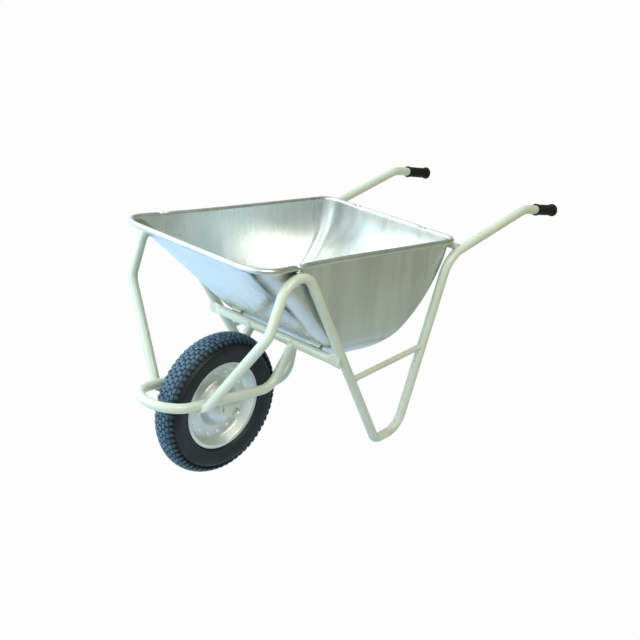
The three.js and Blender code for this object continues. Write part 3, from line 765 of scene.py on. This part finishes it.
def build_welds():
    rng = random.Random(7)
    arm_way = Vector((-1, 0, math.tan(RIM_TILT)))

    def weld(name, knots, radius=2.1, closed=True):
        shape = bead_along(knots, radius, rng, closed)
        piece(name, *shape, "frame", "frame_paint", crease=80, material=WELD_PAINT)

    for name, y in SIDES:
        arm = Vector((0, y * HOOP_HALF_WIDTH, HOOP_HEIGHT_AT_AXLE))
        tip, before = route_corners(y, -1, -2)
        met = weld_ring(tip, tip - before, TUBE_RADIUS, arm, arm_way, TUBE_RADIUS)
        cut_point, cut_way = strut_end(y)
        met = [knot for knot in met if (knot - cut_point).dot(cut_way) < 0]
        weld(f"{name}_strut_weld", met, 1.8, closed=False)

        legs = [[mirror_y(Vector(p[:3]), y) for p in leg] for leg in (LEG_FRONT, LEG_REAR)]
        ends = brace_ends(y)
        for place, end, other, leg in zip(("front", "rear"), ends, reversed(ends), legs):
            knots = weld_ring(end, end - other, BRACE_RADIUS, leg[0], leg[1] - leg[0], TUBE_RADIUS)
            weld(f"{name}_brace_{place}_weld", knots, 1.6)

        corner = Vector((HOOP_REAR_BEND, y * HOOP_HALF_WIDTH, hoop_height(HOOP_REAR_BEND)))
        hoop_end = Vector((crossbar_x(), y * HOOP_HALF_WIDTH, CROSSBAR_Z))
        bar = Vector((crossbar_x(), 0, CROSSBAR_Z))
        ring = weld_ring(hoop_end, hoop_end - corner, TUBE_RADIUS, bar, Vector((0, 1, 0)), TUBE_RADIUS)
        weld(f"{name}_hoop_weld", ring)

        for place, up in (("upper", 1), ("lower", -1)):
            leg = mirror_y(along_leg(LEG_FRONT, CROSSBAR_Z + up * 15), y)
            edge = Vector((leg.x - TUBE_RADIUS * 0.9, leg.y, leg.z))
            half = Vector((0, 8, 0))
            weld(f"{name}_crossbar_{place}_weld", straight(edge - half, edge + half), 2.2, closed=False)

        rear = rear_bar_ends()[0 if y < 0 else 1]
        inner = Vector((rear.x, 0, rear.z))
        top, handle = route_corners(y, 2, 1)
        ring = weld_ring(rear, rear - inner, REAR_BAR_RADIUS, top, handle - top, TUBE_RADIUS)
        weld(f"{name}_rear_bar_weld", ring, 1.7)

        below = math.sqrt(TUBE_RADIUS**2 - WELD_OFFSET**2)
        edge_y = y * (BRACKET_OUTER + 1)
        line = [Vector((x, edge_y, hoop_height(x) - below - 1)) for x in BRACKET_WELD]
        weld(f"{name}_bracket_weld", straight(*line), 2.0, closed=False)


# ---------- tray ----------


def flare_at(x):
    ahead = max(0, (TRAY_FLARE_END - x) / TRAY_FLARE_END)
    return 1 + TRAY_FLARE / TRAY_HALF_WIDTH * ahead**2


def front_wall_x(depth, grow):
    """The front wall at a depth: a sloping line, then a fillet into the floor."""
    floor = TRAY_DEPTH + grow
    slope = 1 / math.tan(TRAY_FRONT_SLOPE)
    top = BEAD - grow / math.sin(TRAY_FRONT_SLOPE)
    radius = TRAY_FRONT_FILLET + grow
    reach = radius * math.tan(TRAY_FRONT_SLOPE / 2)
    if depth < floor - reach * math.sin(TRAY_FRONT_SLOPE):
        return top + slope * depth
    rise = depth - (floor - radius)
    return top + slope * floor + reach - math.sqrt(max(0, radius**2 - rise**2))


def tray_outline(turn, grow):
    """The tray's outline at one depth. grow moves the skin outwards."""
    floor = TRAY_DEPTH + grow
    depth = floor * math.sin(turn)
    share = min(1, depth / floor)
    front = front_wall_x(depth, grow)
    bulge = max(0, 1 - share**TRAY_REAR_POWER) ** (1 / TRAY_REAR_POWER)
    rear = TRAY_LENGTH - BEAD - TRAY_REAR_ARC + (TRAY_REAR_ARC + grow) * bulge
    edge = TRAY_EDGE_ROUND + grow
    sunk = max(0, depth - (floor - edge))
    pulled_in = edge - math.sqrt(max(0, edge**2 - sunk**2))
    half = TRAY_HALF_WIDTH + grow - depth * math.tan(TRAY_SIDE_TAPER) - pulled_in
    front_corner = lerp(TRAY_FRONT_CORNER, TRAY_FLOOR_CORNER, share) + grow
    rear_corner = lerp(TRAY_REAR_CORNER, TRAY_FLOOR_CORNER, share**2) + grow
    points = []

    def corner(cx, cy, radius, start):
        for k in range(13):
            angle = start + k / 12 * math.pi / 2
            points.append((cx + radius * math.cos(angle), cy + radius * math.sin(angle)))

    def edge_between(start, end, count):
        for k in range(1, count):
            points.append((lerp(start[0], end[0], k / count), lerp(start[1], end[1], k / count)))

    near, far = front + front_corner, rear - rear_corner
    front_y, rear_y = half - front_corner, half - rear_corner
    corner(far, rear_y, rear_corner, 0)
    edge_between((far, half), (near, half), 90)
    corner(near, front_y, front_corner, math.pi / 2)
    edge_between((front, front_y), (front, -front_y), 40)
    corner(near, -front_y, front_corner, math.pi)
    edge_between((near, -half), (far, -half), 90)
    corner(far, -rear_y, rear_corner, -math.pi / 2)
    edge_between((rear, -rear_y), (rear, rear_y), 60)
    return [Vector((x, y * flare_at(x), -depth)) for x, y in points]


def rim_bolt_places():
    """Name and place of each rim bolt, in the tray's frame."""
    side_x = (SIDE_BOLT_X - TRAY_FRONT.x) / math.cos(RIM_TILT)
    side_y = TRAY_HALF_WIDTH * flare_at(side_x) + BEAD + BOLT_OUTBOARD
    for name, y in SIDES:
        yield f"{name}_side", Vector((side_x, y * side_y, 0))
        yield f"{name}_rear", Vector((TRAY_LENGTH + BOLT_OUTBOARD, y * REAR_BOLT_Y, 0))


def bead_dent(point):
    """How far the bead's top is pulled down at a point by the nearest rim bolt."""
    nearest = min((Vector((point.x, point.y, 0)) - place).length for _, place in rim_bolt_places())
    share = max(0, 1 - (nearest / BOLT_DENT_REACH) ** 2)
    return BOLT_DENT * share**2


def bead_ring(outline, outward, radius, angle):
    ring = []
    for point, way in zip(outline, outward):
        moved = point + way * (BEAD + radius * math.cos(angle))
        moved.z = radius * math.sin(angle)
        if moved.z > 0:
            moved.z -= bead_dent(moved) * moved.z / BEAD
        ring.append(moved)
    return ring


def tray_shape():
    """The pressed sheet: inside skin, rolled bead, outside skin."""
    levels = [k / TRAY_LEVELS * math.pi / 2 for k in range(TRAY_LEVELS + 1)]
    inside = [tray_outline(turn, 0) for turn in reversed(levels)]
    outside = [tray_outline(turn, TRAY_SHEET) for turn in levels]
    line = inside[-1]
    outward = [way.cross(Vector((0, 0, 1))) for way in directions(line, closed=True)]
    angles = [math.pi - BEAD_TURN * k / BEAD_STEPS for k in range(1, BEAD_STEPS + 1)]
    curl = [bead_ring(line, outward, BEAD, angle) for angle in angles]
    back = [bead_ring(line, outward, BEAD - TRAY_SHEET, angle) for angle in reversed(angles)]
    rings = inside + curl + back + outside
    return loft([[from_tray(p) for p in ring] for ring in rings])


def build_tray():
    piece("tray_sheet", *tray_shape(), "frame", "tray_steel", ["tray"], crease=50)


# ---------- tray fastenings ----------


def side_tube_depth():
    """Height of the side tube's middle in the tray's frame where the side bolt passes it."""
    place = next(p for name, p in rim_bolt_places() if name == "right_side")
    local = [to_tray(knot) for knot in side_knots(1)]
    heights = []
    for start, end in zip(local, local[1:]):
        share = (place.x - start.x) / (end.x - start.x) if end.x != start.x else -1
        if 0 <= share <= 1:
            heights.append(lerp(start.z, end.z, share))
    return max(height for height in heights if height < 0)


def build_rim_bolts():
    down = Matrix.Rotation(RIM_TILT, 3, "Y") @ Vector((0, 0, -1))
    for name, place in rim_bolt_places():
        on_side = name.endswith("side")
        radius = TUBE_RADIUS if on_side else REAR_BAR_RADIUS
        tube = -side_tube_depth() if on_side else REAR_BAR_DEPTH
        seat = -(BEAD - BOLT_DENT)
        nut_top = tube + radius + WASHER_SHEET
        end = nut_top + NUT_HEIGHT + 2
        stand = along(from_tray(place), down)
        dome = [(0, seat - 3.2), (3.2, seat - 3.2), (6.6, seat - 1), (6.6, seat), (0, seat)]
        under = seat + WASHER_SHEET
        washer = rounded([(BOLT_RADIUS, seat), (8.6, seat), (8.6, under), (BOLT_RADIUS, under)], 0.4)
        bolt = joined(
            turned(rounded(dome, 0.9), stand, 40),
            turned(washer, stand, 40),
            threaded(BOLT_RADIUS, seat + 1, end, stand, pitch=1.25),
        )
        piece(f"{name}_bolt", *bolt, "frame", "zinc", [f"{name}_rim_bolt"])
        nut = hexagon(NUT_FLATS, nut_top, nut_top + NUT_HEIGHT, BOLT_RADIUS, stand)
        piece(f"{name}_nut", *nut, "frame", "zinc", [f"{name}_rim_nut"])


# ---------- grips ----------


def build_grips():
    length = GRIP_LENGTH
    outline = [(13, 0), (16.4, 0), (17.4, 2.5), (16.9, 6), (15.2, 10)]
    for k in range(GRIP_GROOVES):
        groove = 20 + k * 7.5
        outline += [(15.3, groove), (14.7, groove + 1), (14.7, groove + 2), (15.3, groove + 3)]
    outline += [(15.2, length - 9), (18.2, length - 6), (18.2, length - 2), (15.2, length)]
    outline += [(0, length), (0, length - 5), (13, length - 5)]
    for name, y in SIDES:
        end, bend = route_corners(y, 0, 1)
        way = (end - bend).normalized()
        start = end + way * (GRIP_PAST_TUBE - length)
        grip = turned(rounded(outline, 0.8), along(start, way), 64)
        piece(f"{name}_grip_sleeve", *grip, "frame", "grip_plastic", [f"{name}_grip"])


# ---------- wheel ----------


def wheel_place(mirror=1):
    return lambda p: from_wheel((p[0], p[1] * mirror, p[2]))


def build_wheel_halves():
    outer = [(12.9, 41.2), (20.3, 41.2), (33, 37.6), (46, 27.5), (55.5, 12.5), (61.5, 1.75), (98, 1.75)]
    outer += [(113.8, 26.6), (117.6, 28.6), (118.4, 27)]
    inner = [(115.2, 25.6), (99.4, 0.15), (60.2, 0.15), (53.9, 12.2), (44.9, 26.2), (32.3, 36.2)]
    inner += [(17.9, 39.4), (17.9, 27), (16.3, 27), (16.3, 39.3), (12.9, 39.3)]
    for name, y in SIDES:
        half = turned(rounded(outer, 9, 6) + rounded(inner, 4, 4), wheel_place(y))
        piece(f"{name}_wheel_disc", *half, "wheel", "wheel_steel", [f"{name}_wheel_half"], crease=60)


def build_rivets():
    for i in range(RIVET_COUNT):
        t = 2 * math.pi * i / RIVET_COUNT
        centre = from_wheel((RIVET_CIRCLE * math.cos(t), 0, RIVET_CIRCLE * math.sin(t)))
        half = [(0, 4.3), (1.9, 4.1), (3.6, 3.4), (4.7, 2.4), (5, 1.9), (3, 1.8)]
        outline = half + [(r, -y) for r, y in reversed(half)]
        shape = turned(outline, along(centre, (0, 1, 0)), 24)
        nodes = [f"wheel_rivet_{i + 1}"]
        # The rivet heads get zinc painted near white as a painted highlight.
        piece(f"rivet_{i + 1}", *shape, "wheel", "zinc", nodes, material=RIVET_PAINTED_HIGHLIGHT)


def crown(psi, lift):
    """A point of the tyre's section at an angle from the crown, lifted off the tread's floor."""
    middle, high, wide = CARCASS
    inset = TREAD_DEPTH - lift
    return middle + (high - inset) * math.cos(psi), (wide - inset) * math.sin(psi)


def carcass_outline():
    outline = []
    for k in range(-30, 31):
        psi = math.radians(3 * k)
        fade = min(1, max(0, (abs(psi) - math.radians(66)) / math.radians(14)))
        radius, y = crown(psi, TREAD_DEPTH * fade)
        outline.append((radius, y))
    shoulder = [(136, 36.5), (127, 33.4), (124.6, 33.6), (122.4, 31.6), (119.4, 26.2), (115.6, 22.6)]
    shoulder += [(110, 14), (108.5, 7)]
    return outline + shoulder + [(112, 6), (112, -6)] + [(r, -y) for r, y in reversed(shoulder)]


def tread_block(theta, outline, extra=0):
    """One rubber block. outline is (share of a pitch, angle from the crown) points, in degrees."""
    pitch = 2 * math.pi / TREAD_PITCHES
    mean = [sum(c) / len(outline) for c in zip(*outline)]
    rings = []
    top = TREAD_DEPTH + extra
    for lift, size in ((-0.8, 1.06), (top - 0.9, 1.0), (top - 0.2, 0.95), (top, 0.86)):
        ring = []
        for share, degrees in outline:
            u = lerp(mean[0], share, size)
            psi = math.radians(lerp(mean[1], degrees, size))
            radius, y = crown(psi, lift)
            angle = theta + u * pitch
            ring.append(from_wheel((radius * math.sin(angle), y, radius * math.cos(angle))))
        rings.append(ring)
    return loft(rings)


def tread_shapes():
    """Zigzag blocks in three rows each side of the crown, and square lugs on the shoulders."""
    for i in range(TREAD_PITCHES):
        theta = 2 * math.pi * i / TREAD_PITCHES
        for way in (-1, 1):
            for row, (near, far) in enumerate(TREAD_ROWS):
                middle = (near + far) / 2
                shift = 0.5 * (row % 2) + (0.25 if way > 0 else 0)
                block = [(0.0, near), (0.2, middle), (0.02, far)]
                block += [(0.78, far), (0.96, middle), (0.76, near)]
                yield tread_block(theta, [(share + shift, angle * way) for share, angle in block])
            lug = [(0.04, 45), (0.1, 54), (0.12, 64), (0.56, 64), (0.62, 54), (0.6, 45)]
            yield tread_block(theta, [(share + 0.3, angle * way) for share, angle in lug], LUG_LIFT)


def build_tyre():
    tyre = joined(turned(carcass_outline(), wheel_place(), 192), *tread_shapes())
    piece("tyre_treaded", *tyre, "wheel", "tyre_rubber", ["tyre"], crease=40)


def build_valve():
    start = from_wheel((0, 3.4, 105))
    way = Vector((0, 0.734, -0.679)).normalized()
    stem = [(0, -1), (3.9, -1), (3.9, 9), (3.2, 12), (3.2, 33), (0, 33)]
    shape = turned(rounded(stem, 0.5), along(start, way), 28)
    piece("valve_rubber_stem", *shape, "wheel", "tube_rubber", ["valve_stem"])
    cap = [(3.2, 23.4), (5.2, 23.4), (5.4, 25), (5.1, 26), (5.1, 33)]
    cap += [(3.9, 35.3), (0, 35.3), (0, 34), (3.2, 34)]
    shape = turned(rounded(cap, 0.5), along(start, way), 28)
    piece("valve_dust_cap", *shape, "wheel", "grip_plastic", ["valve_cap"])


def build_axle():
    middle = from_wheel((0, 0, 0))
    low, high = -BRACKET_OUTER, BRACKET_OUTER
    rod = [(0, low), (AXLE_RADIUS, low), (AXLE_RADIUS, high), (0, high)]
    plain = turned(rod, along(middle, (0, 1, 0)), 32)
    ends = [
        threaded(AXLE_RADIUS, BRACKET_OUTER, AXLE_HALF_LENGTH, along(middle, (0, y, 0)), pitch=1.75)
        for _, y in SIDES
    ]
    piece("axle_shaft", *joined(plain, *ends), "frame", "zinc", ["axle"])
    for name, y in SIDES:
        side = along(middle, (0, y, 0))
        washer = rounded([(6.3, 74.3), (12, 74.3), (12, 76), (6.3, 76)], 0.5)
        disc = turned(washer, side, 48)
        piece(f"{name}_washer_disc", *disc, "frame", "zinc", [f"{name}_axle_washer"])
        nut = hexagon(AXLE_NUT_FLATS, 76.3, 86.3, 6.1, side)
        piece(f"{name}_hex_nut", *nut, "frame", "zinc", [f"{name}_axle_nut"])


# ---------- CAD pieces that stay ----------

KEPT = {
    "frame_paint": ["axle_bracket", "tray_pad"],
    "zinc": ["side_rim_spacer", "axle_spacer"],
    "bearing_steel": ["bearing_inner_race", "bearing_outer_race"],
}


def dress(node, slot, bevel):
    """Gives a CAD piece its material and softens its edges."""
    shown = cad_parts[node]
    shown.data.materials.clear()
    shown.data.materials.append(MATERIALS[slot])
    softened = shown.modifiers.new("edges", "BEVEL")
    softened.width = bevel * MM
    softened.segments = 2
    softened.limit_method = "ANGLE"
    softened.angle_limit = math.radians(40)


def dress_kept():
    for slot, names in KEPT.items():
        for name in names:
            for side, _ in SIDES:
                dress(f"{side}_{name}", slot, 0.3)
    dress("bearing_spacer_sleeve", "zinc", 0.3)
    dress("inner_tube", "tube_rubber", 0.2)


# ---------- camera, light and floor ----------

CAMERA_PLACE = Vector((-1831.6, -2135.6, 1744.2))
CAMERA_AZIMUTH = math.radians(44.85)
CAMERA_ELEVATION = math.radians(24.32)
CAMERA_ROLL = math.radians(0.25)
CAMERA_LENS = 69.6
CAMERA_SENSOR = 36
CAMERA_SHIFT = (0.027, -0.0295)


def build_camera():
    data = bpy.data.cameras.new("photo_camera")
    data.sensor_width = CAMERA_SENSOR
    data.lens = CAMERA_LENS
    data.shift_x, data.shift_y = CAMERA_SHIFT
    camera = bpy.data.objects.new("photo_camera", data)
    flat = math.cos(CAMERA_ELEVATION)
    across, ahead = math.cos(CAMERA_AZIMUTH) * flat, math.sin(CAMERA_AZIMUTH) * flat
    way = Vector((across, ahead, -math.sin(CAMERA_ELEVATION)))
    right = way.cross(Vector((0, 0, 1))).normalized()
    up = right.cross(way)
    c, s = math.cos(CAMERA_ROLL), math.sin(CAMERA_ROLL)
    axes = (right * c + up * s, up * c - right * s, -way)
    turn = Matrix(axes).transposed().to_4x4()
    camera.matrix_world = Matrix.Translation(at(CAMERA_PLACE)) @ turn
    bpy.context.scene.collection.objects.link(camera)
    bpy.context.scene.camera = camera


def softbox(name, place, target, size, power, colour):
    data = bpy.data.lights.new(name, "AREA")
    data.shape = "RECTANGLE"
    data.size, data.size_y = size
    data.energy = power
    data.color = colour
    light = bpy.data.objects.new(name, data)
    light.location = place
    light.rotation_mode = "QUATERNION"
    light.rotation_quaternion = (Vector(target) - Vector(place)).to_track_quat("-Z", "Y")
    bpy.context.scene.collection.objects.link(light)


# The studio is cool and bright ahead of the wheel and on the right, dim and warm on the left.
BRIGHT_WAY = Vector((-0.66, 0.64, 0.34)).normalized()
DIM_SIDE = (0.22, 0.225, 0.15)
MIDDLE = (0.50, 0.555, 0.50)
BRIGHT_SIDE = (1.80, 2.16, 2.30)
FLOOR_DIM = (0.43, 0.46, 0.35)
FLOOR_BRIGHT = (0.86, 1.20, 1.56)
STUDIO_REACH = 60  # metres
FLOOR_DROP = 0.0005  # metres, so that the tyre stands clear of the floor


def graded(tree, vector, way, spread, stops):
    """A colour that changes along a direction, from -spread to spread."""
    along_way = tree.nodes.new("ShaderNodeVectorMath")
    along_way.operation = "DOT_PRODUCT"
    along_way.inputs[1].default_value = way
    tree.links.new(vector, along_way.inputs[0])
    span = tree.nodes.new("ShaderNodeMapRange")
    span.inputs["From Min"].default_value = -spread
    span.inputs["From Max"].default_value = spread
    tree.links.new(along_way.outputs["Value"], span.inputs["Value"])
    ramp = tree.nodes.new("ShaderNodeValToRGB")
    fill_ramp(ramp, stops)
    tree.links.new(span.outputs["Result"], ramp.inputs["Fac"])
    return ramp.outputs["Color"]


def build_world():
    world = bpy.data.worlds.new("studio")
    world.use_nodes = True
    tree = world.node_tree
    coords = tree.nodes.new("ShaderNodeTexCoord")
    stops = [(0.1, DIM_SIDE), (0.5, MIDDLE), (0.85, BRIGHT_SIDE)]
    colour = graded(tree, coords.outputs["Generated"], BRIGHT_WAY, 1, stops)
    tree.links.new(colour, tree.nodes["Background"].inputs["Color"])
    bpy.context.scene.world = world


def glowing(name):
    """An emission material and its colour socket."""
    material = bpy.data.materials.new(name)
    material.use_nodes = True
    tree = material.node_tree
    tree.nodes.clear()
    emission = tree.nodes.new("ShaderNodeEmission")
    output = tree.nodes.new("ShaderNodeOutputMaterial")
    tree.links.new(emission.outputs["Emission"], output.inputs["Surface"])
    return material, tree, emission.inputs["Color"]


def stage_mesh(name, verts, faces, material, camera_only):
    mesh = bpy.data.meshes.new(name)
    mesh.from_pydata(verts, [], faces)
    mesh.materials.append(material)
    made = bpy.data.objects.new(name, mesh)
    bpy.context.scene.collection.objects.link(made)
    made.visible_camera = camera_only
    made.visible_shadow = False
    for ray in ("diffuse", "glossy", "transmission", "volume_scatter"):
        setattr(made, f"visible_{ray}", not camera_only)
    made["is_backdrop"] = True


def build_floor():
    """The plain pale room that is seen, and the graded floor that the barrow reflects."""
    r = STUDIO_REACH
    corners = [(x, y, z) for z in (-FLOOR_DROP, r) for x, y in ((-r, -r), (r, -r), (r, r), (-r, r))]
    room = [(0, 1, 2, 3), (4, 5, 6, 7), (0, 1, 5, 4), (1, 2, 6, 5), (2, 3, 7, 6), (3, 0, 4, 7)]
    pale, _, colour = glowing("pale_room")
    colour.default_value = (0.985, 0.985, 0.98, 1)
    stage_mesh("floor", corners, room, pale, camera_only=True)

    lit, tree, colour = glowing("floor_glow")
    place = tree.nodes.new("ShaderNodeTexCoord").outputs["Object"]
    stops = [(0.1, FLOOR_DIM), (0.9, FLOOR_BRIGHT)]
    tree.links.new(graded(tree, place, Vector((-0.45, 0.89, 0)), 1.1, stops), colour)
    stage_mesh("floor_reflected", corners[:4], room[:1], lit, camera_only=False)


def build_light():
    bpy.context.scene.view_settings.view_transform = "Standard"
    softbox("key", (-2.8, 1.4, 2.0), (0, 0, 0.3), (1.8, 1.8), 20, (0.80, 0.95, 1.0))
    softbox("sky", (-1.1, 0.7, 2.7), (-0.44, 0, 0.3), (1.0, 1.0), 13, (0.62, 0.85, 1.0))
    softbox("glow", (1.62, -1.45, 1.75), (0.05, 0.1, 0.4), (0.9, 0.9), 0.9, (1.0, 0.95, 0.82))
    softbox("dome", (-0.45, -2.0, 2.3), (-0.44, 0, 0.2), (1.4, 1.4), 34, (1.0, 0.98, 0.9))


# ---------- build ----------

build_camera()
build_world()
build_floor()
build_light()
build_frame()
build_welds()
build_tray()
build_rim_bolts()
build_grips()
build_wheel_halves()
build_rivets()
build_tyre()
build_valve()
build_axle()
dress_kept()

bpy.context.view_layer.update()
boxes = {"cad": cad_box, "visual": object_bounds()}
{name: [list(corner) for corner in box] for name, box in boxes.items()}
